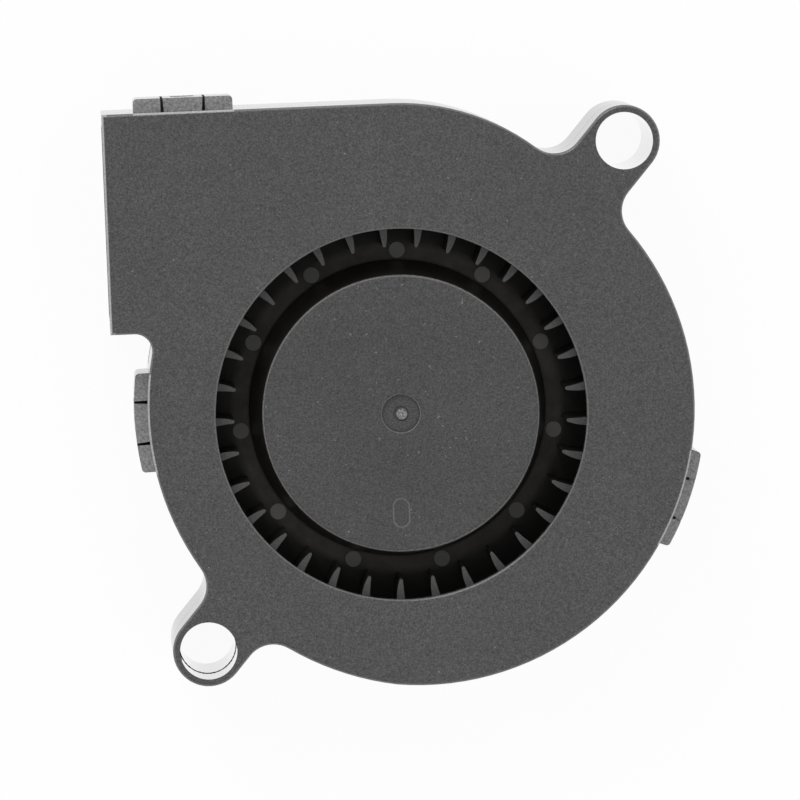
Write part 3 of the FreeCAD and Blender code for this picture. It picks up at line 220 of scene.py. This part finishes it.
def eroded_grey(finish, grey, contrast, cells):
    """Grained grey of an eroded mould face, with specks of dust: its colour and its height."""
    dust_grey = (0.3, 0.3, 0.29)
    grain = finish.noise(cells, detail=3.0, roughness=0.75)
    drift = finish.noise(95.0, detail=4.0, roughness=0.6)
    speck = finish.noise(3600.0, detail=0.0)
    tone = finish.ramp(grain, (0.3, 1 - contrast), (0.52, 1.0), (0.74, 1 + 1.2 * contrast))
    cloud = finish.ramp(drift, (0.3, 0.93), (0.7, 1.07))
    pale = finish.ramp(speck, (0.82, 0.0), (0.88, 0.45))
    return finish.blend("MIX", pale, finish.times(tone, cloud, grey), dust_grey), grain


def distance(finish, x, y, half_length=0.0):
    """Distance in plan from a point, or from a short line that runs along Y."""
    aside = finish.calc("SUBTRACT", finish.part(finish.place, "X"), x)
    along = finish.calc("ABSOLUTE", finish.calc("SUBTRACT", finish.part(finish.place, "Y"), y))
    along = finish.calc("MAXIMUM", finish.calc("SUBTRACT", along, half_length), 0.0)
    aside = finish.calc("MULTIPLY", aside, aside)
    along = finish.calc("MULTIPLY", along, along)
    return finish.calc("SQRT", finish.calc("ADD", aside, along))


case_plastic = Finish("case_plastic")
height = case_plastic.part(case_plastic.place, "Z")
upright = case_plastic.calc("ABSOLUTE", case_plastic.part(case_plastic.facing, "Z"))
flat = case_plastic.above(upright, 0.95, soft=0.03)
wall = case_plastic.opposite(flat)
# The rounded edges: painted paler below as a painted highlight along them, broken up by the grain.
highlit_edges = case_plastic.within(upright, 0.12, 0.88, soft=0.06)
grey, grain = eroded_grey(case_plastic, moulded_black, contrast=0.95, cells=7030.0)
patchy_highlight = case_plastic.ramp(grain, (0.35, 0.45), (0.65, 0.9))
# Near the clips and beyond the outlet's edge the rounded front edges get a brighter painted highlight.
strong_highlight_places = case_plastic.calc("LESS_THAN", case_plastic.part(case_plastic.place, "X"), outlet_lip)
for x, y in clip_middles:
    by_clip = case_plastic.calc("LESS_THAN", distance(case_plastic, x, y), clip_half)
    strong_highlight_places = case_plastic.calc("MAXIMUM", strong_highlight_places, by_clip)
at_front = case_plastic.above(height, front_face - edge_depth, sharp)
edge_highlight_colour = case_plastic.blend("MIX", case_plastic.both(strong_highlight_places, at_front), edge_highlight_grey, strong_highlight_grey)
grey = case_plastic.blend("MIX", case_plastic.both(highlit_edges, patchy_highlight), grey, edge_highlight_colour)

# The clips' end faces are painted a pale ragged grey: painted light where the light falls on them.
clip_ends = case_plastic.both(case_plastic.near(height, clip_top, end_band, sharp), flat)
rags = case_plastic.noise(4500.0, detail=4.0, roughness=0.7)
grey = case_plastic.blend("MIX", clip_ends, grey, case_plastic.ramp(rags, *pale_ragged_tones))
joint = case_plastic.both(case_plastic.near(height, seam, joint_half, sharp), wall)
grey = case_plastic.blend("MIX", joint, grey, gap_black)

cored = 0.0
for hole in screw_holes:
    away = distance(case_plastic, hole["pos_m"][0], hole["pos_m"][1])
    inside = case_plastic.calc("LESS_THAN", away, hole["dims"]["r_mm"] * MM + hole_margin)
    cored = case_plastic.calc("MAXIMUM", cored, inside)
cored = case_plastic.both(cored, wall)
shine = case_plastic.ramp(flat, (0.0, 0.08), (1.0, 0.55))
shine = case_plastic.blend("MIX", highlit_edges, shine, (0.4, 0.4, 0.4))
shine = case_plastic.blend("MIX", joint, shine, (1.0, 1.0, 1.0))
case_plastic.look(Base_Color=grey, Roughness=shine, Coat_Weight=cored, Coat_Roughness=0.03)
etched = case_plastic.both(grain, case_plastic.ramp(flat, (0.0, 0.2), (1.0, 1.0)))
case_plastic.relief((etched, 0.012 * MM, 0.5))
case_plastic.dress("rear_housing")

# The bearing: a turned brass tube pressed into the boss, holding an oil-filled
# sintered bronze sleeve, with a nylon thrust pad under the end of the shaft.


def worked_metal(name, colour, roughness, cells, squeeze, depth):
    """Metal with fine tool marks, squeezed or drawn out along an axis, and a little tarnish."""
    finish = Finish(name)
    marks = finish.noise(cells, detail=3.0, roughness=0.6, squeeze=squeeze)
    stain = finish.noise(700.0)
    shade = finish.ramp(marks, (0.3, 0.86), (0.7, 1.08))
    tarnish = finish.ramp(stain, (0.35, 0.88), (0.65, 1.04))
    finish.look(Base_Color=finish.times(shade, tarnish, colour), Metallic=1.0,
                Roughness=finish.ramp(stain, (0.3, roughness * 0.8), (0.7, roughness * 1.25)))
    finish.relief((marks, depth, 0.4))
    return finish


turned_brass = worked_metal("turned_brass", (0.72, 0.53, 0.25), roughness=0.28, cells=1500.0,
                            squeeze=(1, 1, 9), depth=0.01 * MM)
turned_brass.dress("bearing_tube")
sintered_bronze = worked_metal("sintered_bronze", (0.48, 0.33, 0.19), roughness=0.5, cells=9000.0,
                               squeeze=(1, 1, 1), depth=0.03 * MM)
sintered_bronze.dress("sleeve_bearing")


def nylon(name, colour, cells):
    """Natural nylon: waxy, a little cloudy, lightly scuffed."""
    finish = Finish(name)
    haze = finish.noise(cells, detail=3.0)
    scratches = finish.noise(cells * 8)
    tone = finish.ramp(haze, (0.3, 0.9), (0.7, 1.06))
    finish.look(Base_Color=finish.times(tone, colour), Subsurface_Weight=0.15,
                Subsurface_Radius=(0.6 * MM, 0.5 * MM, 0.4 * MM),
                Roughness=finish.ramp(scratches, (0.3, 0.38), (0.7, 0.55)))
    finish.relief((scratches, 0.01 * MM, 0.4))
    return finish


wear_nylon = nylon("wear_nylon", (0.74, 0.71, 0.62), cells=900.0)
wear_nylon.dress("thrust_pad")

# The circuit board: a green ring of glass epoxy on three posts, with copper
# tracks under its solder mask and the cloth's weave just showing.

board_green = Finish("board_green")
weave = board_green.noise(5200.0, detail=1.0, squeeze=(1, 0.25, 1))
blotch = board_green.noise(420.0, detail=1.0)
tracks = board_green.ramp(blotch, (0.49, (0.012, 0.09, 0.04)), (0.51, (0.03, 0.17, 0.075)))
cloth = board_green.ramp(weave, (0.35, 0.85), (0.65, 1.12))
board_green.look(Base_Color=board_green.times(tracks, cloth), Roughness=0.32, Coat_Weight=0.4)
board_green.relief((tracks, 0.03 * MM, 0.5), (weave, 0.008 * MM, 0.4))
board_green.dress("circuit_board")

# The board's small parts: a driver chip with its magnetic sensor, a resistor and
# a diode in black epoxy, and a tan ceramic capacitor, each on tinned feet.

board_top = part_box("circuit_board")[1].z
foot_height = 0.17 * MM
tin_grey = (0.7, 0.7, 0.68)


def small_part(name, colour, roughness):
    """Body of a board part with fine pores, on feet of tin."""
    finish = Finish(name)
    pores = finish.noise(14000.0)
    tone = finish.ramp(pores, (0.3, 0.8), (0.7, 1.2))
    body = finish.times(tone, colour)
    above_feet = finish.above(finish.part(finish.place, "Z"), board_top + foot_height, 0.01 * MM)
    finish.look(Base_Color=finish.blend("MIX", above_feet, tin_grey, body),
                Metallic=finish.opposite(above_feet), Roughness=roughness)
    finish.relief((pores, 0.006 * MM, 0.6))
    return finish


black_epoxy = small_part("black_epoxy", (0.025, 0.025, 0.027), roughness=0.5)
black_epoxy.dress("driver_chip", "board_resistor", "board_diode")
tan_ceramic = small_part("tan_ceramic", (0.42, 0.28, 0.16), roughness=0.6)
tan_ceramic.dress("board_capacitor")

# The lead lands: two blobs of tinned solder at the edge of the board, melted on
# by hand over bare copper, where a supply would be joined.

tinned = worked_metal("tinned", (0.72, 0.72, 0.7), roughness=0.3, cells=2600.0, squeeze=(1, 1, 1),
                      depth=0.03 * MM)
tinned.dress("lead_lands")

# The stator: stamped sheets of silicon steel between two nylon insulators, wound
# with four coils of enamelled copper wire whose pins are soldered to the board.

sheet_step = 0.51 * MM
varnish_brown = (0.25, 0.23, 0.22)
stack_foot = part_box("stator_laminations")[0].z
sheets = worked_metal("stamped_steel", (0.36, 0.37, 0.39), roughness=0.42, cells=3000.0,
                      squeeze=(1, 1, 12), depth=0.02 * MM)
rise = sheets.calc("SUBTRACT", sheets.part(sheets.place, "Z"), stack_foot)
in_sheet = sheets.calc("FRACT", sheets.calc("DIVIDE", rise, sheet_step))
from_middle = sheets.calc("ABSOLUTE", sheets.calc("SUBTRACT", in_sheet, 0.5))
between = sheets.above(from_middle, 0.46, soft=0.02)
steel = sheets.shader.inputs["Base Color"].links[0].from_socket
sheets.look(Base_Color=sheets.blend("MULTIPLY", between, steel, varnish_brown))
sheets.dress("stator_laminations")
liner_nylon = nylon("liner_nylon", (0.78, 0.76, 0.7), cells=700.0)
liner_nylon.dress("upper_insulator", "lower_insulator")

enamelled_copper = Finish("enamelled_copper")
turns = enamelled_copper.nodes.new("ShaderNodeTexWave")
turns.bands_direction = "Z"
turns.inputs["Scale"].default_value = 1300.0
turns.inputs["Distortion"].default_value = 0.4
enamelled_copper.feed(turns.inputs["Vector"], enamelled_copper.place)
lacquer = enamelled_copper.noise(900.0)
# The wire's colour runs dark between the turns: painted shade in the grooves between them.
wire_and_groove_shade = enamelled_copper.ramp(turns.outputs["Fac"], (0.0, (0.22, 0.07, 0.025)), (0.55, (0.62, 0.27, 0.11)))
tint = enamelled_copper.ramp(lacquer, (0.3, 0.85), (0.7, 1.08))
enamelled_copper.look(Base_Color=enamelled_copper.times(wire_and_groove_shade, tint), Metallic=0.85, Roughness=0.3)
enamelled_copper.relief((turns.outputs["Fac"], 0.06 * MM, 0.8))
enamelled_copper.dress("coil_1", "coil_2", "coil_3", "coil_4")
tinned.dress("terminal_pins", "solder_joints")

# The rotor's metal: a drawn steel cup glued into the hub with its ring magnet of
# bonded ferrite, a brass bush riveted into the cup and a ground steel shaft.

drawn_steel = worked_metal("drawn_steel", (0.5, 0.51, 0.52), roughness=0.34, cells=2200.0,
                           squeeze=(1, 1, 0.2), depth=0.01 * MM)
drawn_steel.dress("rotor_yoke")
ground_steel = worked_metal("ground_steel", (0.62, 0.63, 0.64), roughness=0.18, cells=4000.0,
                            squeeze=(1, 1, 14), depth=0.004 * MM)
ground_steel.dress("shaft")
bush_brass = worked_metal("bush_brass", (0.7, 0.52, 0.26), roughness=0.32, cells=1500.0,
                          squeeze=(1, 1, 9), depth=0.01 * MM)
bush_brass.dress("hub_bush")

ferrite_grey = (0.05, 0.046, 0.042)
ferrite = Finish("bonded_ferrite")
pores = ferrite.noise(11000.0)
streaks = ferrite.ramp(ferrite.noise(600.0, squeeze=(1, 1, 4)), (0.3, 0.8), (0.7, 1.2))
ferrite.look(Base_Color=ferrite.times(streaks, ferrite_grey),
             Roughness=ferrite.ramp(pores, (0.3, 0.6), (0.7, 0.8)))
ferrite.relief((pores, 0.01 * MM, 0.5))
ferrite.dress("rotor_magnet")
wear_nylon.dress("retaining_clip", "oil_ring")

# The impeller: one moulding of the same black plastic. The hub's top is grained;
# the floor, blades and hub's side came off polished steel and are painted far darker,
# for their smooth finish and as painted shade deep in the impeller. A ring of the floor
# by the hub is painted lighter as painted light, and the hub's rounded edge, the pads
# and an insert's line below the dimple get painted highlights. The blades' front ends
# are scuffed pale. A torn gate sits in the dimple.

hub_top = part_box("impeller")[1].z
hub_round = 0.3 * MM
dimple_foot = 0.6 * MM
dimple_reach = 3.0 * MM
blade_drop = 2.1 * MM
blade_top = front_face - blade_drop
floor_drop = 3.95 * MM
floor_top = seam - floor_drop
pad_height = 0.12 * MM
lit_ring_start = 13.2 * MM
lit_ring_end = 14.5 * MM
insert_middle = (-0.3 * MM, -8.7 * MM)
insert_half = 0.55 * MM
insert_radius = 0.69 * MM
line_half = 0.06 * MM
gate_middle = (0.08 * MM, -0.08 * MM)
gate_radius = 0.5 * MM
hub_grey = (0.0702, 0.0702, 0.0702)
hub_edge_highlight_grey = (0.24, 0.238, 0.235)
polished_and_shade_tones = ((0.3, (0.013, 0.0124, 0.0115)), (0.7, (0.021, 0.0185, 0.016)))
lit_ring_tones = ((0.3, (0.04, 0.037, 0.032)), (0.7, (0.078, 0.072, 0.063)))
pad_highlight_grey = (0.19, 0.187, 0.18)
insert_highlight_grey = (0.17, 0.169, 0.166)

impeller_plastic = Finish("impeller_plastic")
height = impeller_plastic.part(impeller_plastic.place, "Z")
facing_up = impeller_plastic.part(impeller_plastic.facing, "Z")
from_axis = distance(impeller_plastic, 0.0, 0.0)
flat = impeller_plastic.above(facing_up, 0.93, soft=0.04)
by_axis = impeller_plastic.calc("LESS_THAN", from_axis, dimple_reach)
in_dimple = impeller_plastic.above(height, hub_top - dimple_foot, soft=0.05 * MM)
in_dimple = impeller_plastic.both(in_dimple, by_axis)
grained = impeller_plastic.above(height, hub_top - hub_round, soft=0.03 * MM)
grained = impeller_plastic.calc("MAXIMUM", grained, in_dimple)
grey, grain = eroded_grey(impeller_plastic, hub_grey, contrast=0.6, cells=7300.0)
# The polished parts are painted far darker than the hub's top: partly their smooth finish, partly painted
# shade deep in the impeller.
polished_and_shaded = impeller_plastic.ramp(impeller_plastic.noise(500.0, detail=3.0), *polished_and_shade_tones)
colour = impeller_plastic.blend("MIX", grained, polished_and_shaded, grey)
# The hub's rounded edge and the dimple's rim are painted paler: a painted highlight.
highlit_edges = impeller_plastic.both(grained, impeller_plastic.within(facing_up, 0.4, 0.85, soft=0.06))
highlit_edges = impeller_plastic.both(highlit_edges, impeller_plastic.ramp(grain, (0.35, 0.3), (0.65, 0.9)))
colour = impeller_plastic.blend("MIX", highlit_edges, colour, hub_edge_highlight_grey)

ends = impeller_plastic.both(impeller_plastic.near(height, blade_top, end_band, sharp), flat)
scuffed = impeller_plastic.ramp(grain, (0.3, 0.048), (0.7, 0.1))
colour = impeller_plastic.blend("MIX", ends, colour, scuffed)

# A ring of the floor beside the hub is painted lighter: painted light where light reaches the floor,
# fading into the painted shade among the blades.
on_floor = impeller_plastic.both(impeller_plastic.near(height, floor_top, pad_height / 2, sharp), flat)
past_hub = impeller_plastic.above(from_axis, lit_ring_start, soft=0.08 * MM)
into_blade_shade = impeller_plastic.above(from_axis, lit_ring_end, soft=0.35 * MM)
on_floor = impeller_plastic.both(on_floor, impeller_plastic.calc("SUBTRACT", past_hub, into_blade_shade))
painted_lit_ring = impeller_plastic.ramp(impeller_plastic.noise(650.0, detail=3.0), *lit_ring_tones)
colour = impeller_plastic.blend("MIX", on_floor, colour, painted_lit_ring)
# The pads' tops are painted light grey: a painted highlight.
pads = impeller_plastic.near(height, floor_top + pad_height, pad_height / 2, sharp)
colour = impeller_plastic.blend("MIX", impeller_plastic.both(pads, flat), colour, pad_highlight_grey)

# The insert's outline is painted paler in patches: a painted highlight on the edge of its shallow step.
insert_line = distance(impeller_plastic, *insert_middle, insert_half)
insert_line = impeller_plastic.near(insert_line, insert_radius, line_half, soft=0.04 * MM)
patchy_line = impeller_plastic.ramp(grain, (0.3, 0.5), (0.6, 0.9))
insert_line = impeller_plastic.both(insert_line, grained, flat, patchy_line)
colour = impeller_plastic.blend("MIX", insert_line, colour, insert_highlight_grey)

past_gate = impeller_plastic.above(distance(impeller_plastic, *gate_middle), gate_radius, soft=0.04 * MM)
gate = impeller_plastic.both(impeller_plastic.opposite(past_gate), grained)
crumbs = impeller_plastic.noise(4200.0, detail=4.0, roughness=0.7)
torn = impeller_plastic.ramp(crumbs, (0.32, 0.03), (0.5, 0.2), (0.68, 0.42))
colour = impeller_plastic.blend("MIX", gate, colour, torn)
shine = impeller_plastic.ramp(impeller_plastic.calc("MAXIMUM", grained, flat), (0.0, 0.34), (1.0, 0.5))
impeller_plastic.look(Base_Color=colour, Specular_IOR_Level=0.2, Roughness=shine)
impeller_plastic.relief((grain, 0.012 * MM, 0.5), (impeller_plastic.times(crumbs, gate), 0.2 * MM, 0.8))
impeller_plastic.dress("impeller")

# The front cover: the second shell of the case, with the round inlet. Its three
# tongues snap over the catches of the rear housing and hold the joint shut.

case_plastic.dress("front_cover")

# The flash in the lower screw hole: a thin torn lip of the same plastic, squeezed
# out where the mould's halves met on worn steel, left on the rear shell's joint.

torn_plastic = Finish("torn_plastic")
fibres = torn_plastic.noise(9000.0, detail=3.0, roughness=0.7)
torn_black = torn_plastic.ramp(fibres, (0.3, 0.004), (0.7, 0.022))
torn_plastic.look(Base_Color=torn_black, Specular_IOR_Level=0.1, Roughness=0.85)
torn_plastic.relief((fibres, 0.02 * MM, 0.7))

lower_hole = next(item for item in screw_holes if item["name"] == "screw_hole_lower")
hole_radius = lower_hole["dims"]["r_mm"] * MM
hole_middle = Vector(lower_hole["pos_m"])
flash_size = 0.09 * MM
flash_steps = 90
flash_raggedness = 0.03 * MM
weld = 0.001 * MM
bpy.ops.object.select_all(action="DESELECT")
bpy.ops.mesh.primitive_plane_add(size=flash_size,
                                 location=(hole_middle.x + hole_radius, hole_middle.y, seam),
                                 rotation=(math.radians(90), 0, 0))
bpy.ops.object.transform_apply()
flash = bpy.context.object
flash.name = "joint_flash"
bpy.ops.object.mode_set(mode="EDIT")
bpy.ops.mesh.select_all(action="SELECT")
bpy.ops.mesh.delete(type="ONLY_FACE")
bpy.ops.mesh.select_all(action="SELECT")
bpy.ops.mesh.spin(steps=flash_steps, angle=math.tau, axis=(0, 0, 1),
                  center=(hole_middle.x, hole_middle.y, seam), use_auto_merge=True)
bpy.ops.mesh.select_all(action="SELECT")
bpy.ops.mesh.remove_doubles(threshold=weld)
bpy.ops.transform.vertex_random(offset=flash_raggedness, seed=5)
bpy.ops.mesh.normals_make_consistent(inside=False)
bpy.ops.object.mode_set(mode="OBJECT")
flash.data.materials.append(torn_plastic.material)
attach(flash, "housing")

# The webs in the right clip's slits: sheets that bridge the outer part of each slit,
# put there for the slit's shade, painted black further in as painted shade and a pale ragged grey nearer
# the mouth.

main_arc = (1.55 * MM, 0.3 * MM)
slit_shade_reach = 24.72 * MM
painted_slit_shade = (0.006, 0.006, 0.005)
web_shade_plastic = Finish("web_shade_plastic")
rags = web_shade_plastic.noise(4500.0, detail=4.0, roughness=0.7)
# The inner part of each web is painted black: painted shade of the slit.
past_slit_shade = web_shade_plastic.above(distance(web_shade_plastic, *main_arc), slit_shade_reach, soft=0.04 * MM)
grey = web_shade_plastic.blend("MIX", past_slit_shade, painted_slit_shade, web_shade_plastic.ramp(rags, *pale_ragged_tones))
web_shade_plastic.look(Base_Color=grey, Roughness=0.7, Specular_IOR_Level=0.1)
web_shade_plastic.relief((rags, 0.02 * MM, 0.6))

web_width = 0.3 * MM
web_thickness = 0.12 * MM
web_drop = 0.12 * MM
web_middle = 0.68
web_share = 0.6
web_raggedness = 0.02 * MM
slits = {
    "slit_shade_web_lower": ((23.27 * MM, -10.15 * MM), (24.32 * MM, -10.61 * MM)),
    "slit_shade_web_upper": ((24.58 * MM, -6.79 * MM), (25.67 * MM, -7.17 * MM)),
}
for name, (root, mouth) in slits.items():
    root = Vector(root)
    run = Vector(mouth) - root
    x, y = root + web_middle * run
    bpy.ops.object.select_all(action="DESELECT")
    bpy.ops.mesh.primitive_cube_add(size=1, location=(x, y, clip_top - web_drop),
                                    rotation=(0, 0, math.atan2(run.y, run.x)),
                                    scale=(web_share * run.length, web_width, web_thickness))
    bpy.ops.object.transform_apply()
    web = bpy.context.object
    web.name = name
    bpy.ops.object.mode_set(mode="EDIT")
    bpy.ops.mesh.select_all(action="SELECT")
    bpy.ops.mesh.subdivide(number_cuts=5)
    bpy.ops.transform.vertex_random(offset=web_raggedness, seed=7)
    bpy.ops.mesh.normals_make_consistent(inside=False)
    bpy.ops.object.mode_set(mode="OBJECT")
    web.data.materials.append(web_shade_plastic.material)
    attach(web, "housing")

# The stage: a matt paper floor and a world that both show white to the camera, and
# two soft square lamps, the strong one beyond the case's upper edge.


def lamp(name, place, size, power, aim):
    """Soft square lamp aimed at a point."""
    data = bpy.data.lights.new(name, "AREA")
    data.shape = "SQUARE"
    data.size = size
    data.energy = power
    item = bpy.data.objects.new(name, data)
    bpy.context.scene.collection.objects.link(item)
    item.location = place
    item.rotation_euler = (Vector(aim) - Vector(place)).to_track_quat("-Z", "Y").to_euler()


def seen_directly(nodes, links):
    """1 for the rays that show the background itself: camera, mirror and glass rays."""
    path = nodes.new("ShaderNodeLightPath")
    total = path.outputs["Is Camera Ray"]
    for ray in ("Is Glossy Ray", "Is Transmission Ray"):
        add = nodes.new("ShaderNodeMath")
        add.operation = "ADD"
        add.use_clamp = True
        links.new(total, add.inputs[0])
        links.new(path.outputs[ray], add.inputs[1])
        total = add.outputs["Value"]
    return total


floor_size = 4.0
floor_gap = 0.05 * MM
floor_glow = 0.95
middle = (cad_low + cad_high) / 2
lamp("key", (-0.2, 0.5, 0.4), size=0.35, power=1.7, aim=middle)
lamp("fill", (0.35, -0.25, 0.6), size=0.4, power=0.6, aim=middle)

bpy.ops.object.select_all(action="DESELECT")
bpy.ops.mesh.primitive_plane_add(size=floor_size, location=(0, 0, -floor_gap))
floor = bpy.context.object
floor.name = "floor"
paper = Finish("floor_paper")
paper.look(Base_Color=(0.9, 0.9, 0.9), Roughness=0.9)
glow = paper.nodes.new("ShaderNodeEmission")
mixed = paper.nodes.new("ShaderNodeMixShader")
direct = seen_directly(paper.nodes, paper.links)
paper.feed(mixed.inputs["Fac"], paper.calc("MULTIPLY", direct, floor_glow))
paper.feed(mixed.inputs[1], paper.shader.outputs["BSDF"])
paper.feed(mixed.inputs[2], glow.outputs["Emission"])
paper.feed(paper.nodes["Material Output"].inputs["Surface"], mixed.outputs["Shader"])
floor.data.materials.append(paper.material)

world = bpy.data.worlds.new("studio")
bpy.context.scene.world = world
world.use_nodes = True
nodes = world.node_tree.nodes
links = world.node_tree.links
sky = nodes["Background"]
sky.inputs["Color"].default_value = (1, 1, 1, 1)
brightness = nodes.new("ShaderNodeMapRange")
brightness.inputs["To Min"].default_value = 0.68
brightness.inputs["To Max"].default_value = 1.0
links.new(seen_directly(nodes, links), brightness.inputs["Value"])
links.new(brightness.outputs["Result"], sky.inputs["Strength"])

# The camera: three quarters of a metre in front of the inlet with a long lens,
# a little above and to the left of the axis, and turned by two degrees.

bpy.context.scene.view_settings.view_transform = "Standard"
camera_data = bpy.data.cameras.new("camera")
camera = bpy.data.objects.new("camera", camera_data)
bpy.context.scene.collection.objects.link(camera)
bpy.context.scene.camera = camera
camera_data.sensor_width = 36.0
camera_data.lens = 377.9
camera_data.clip_start = 0.05
camera_data.clip_end = 10.0
camera.location = (-0.02791, 0.04751, 0.74502)
camera.rotation_euler = (math.radians(-3.532), math.radians(-2.325), math.radians(-2.287))
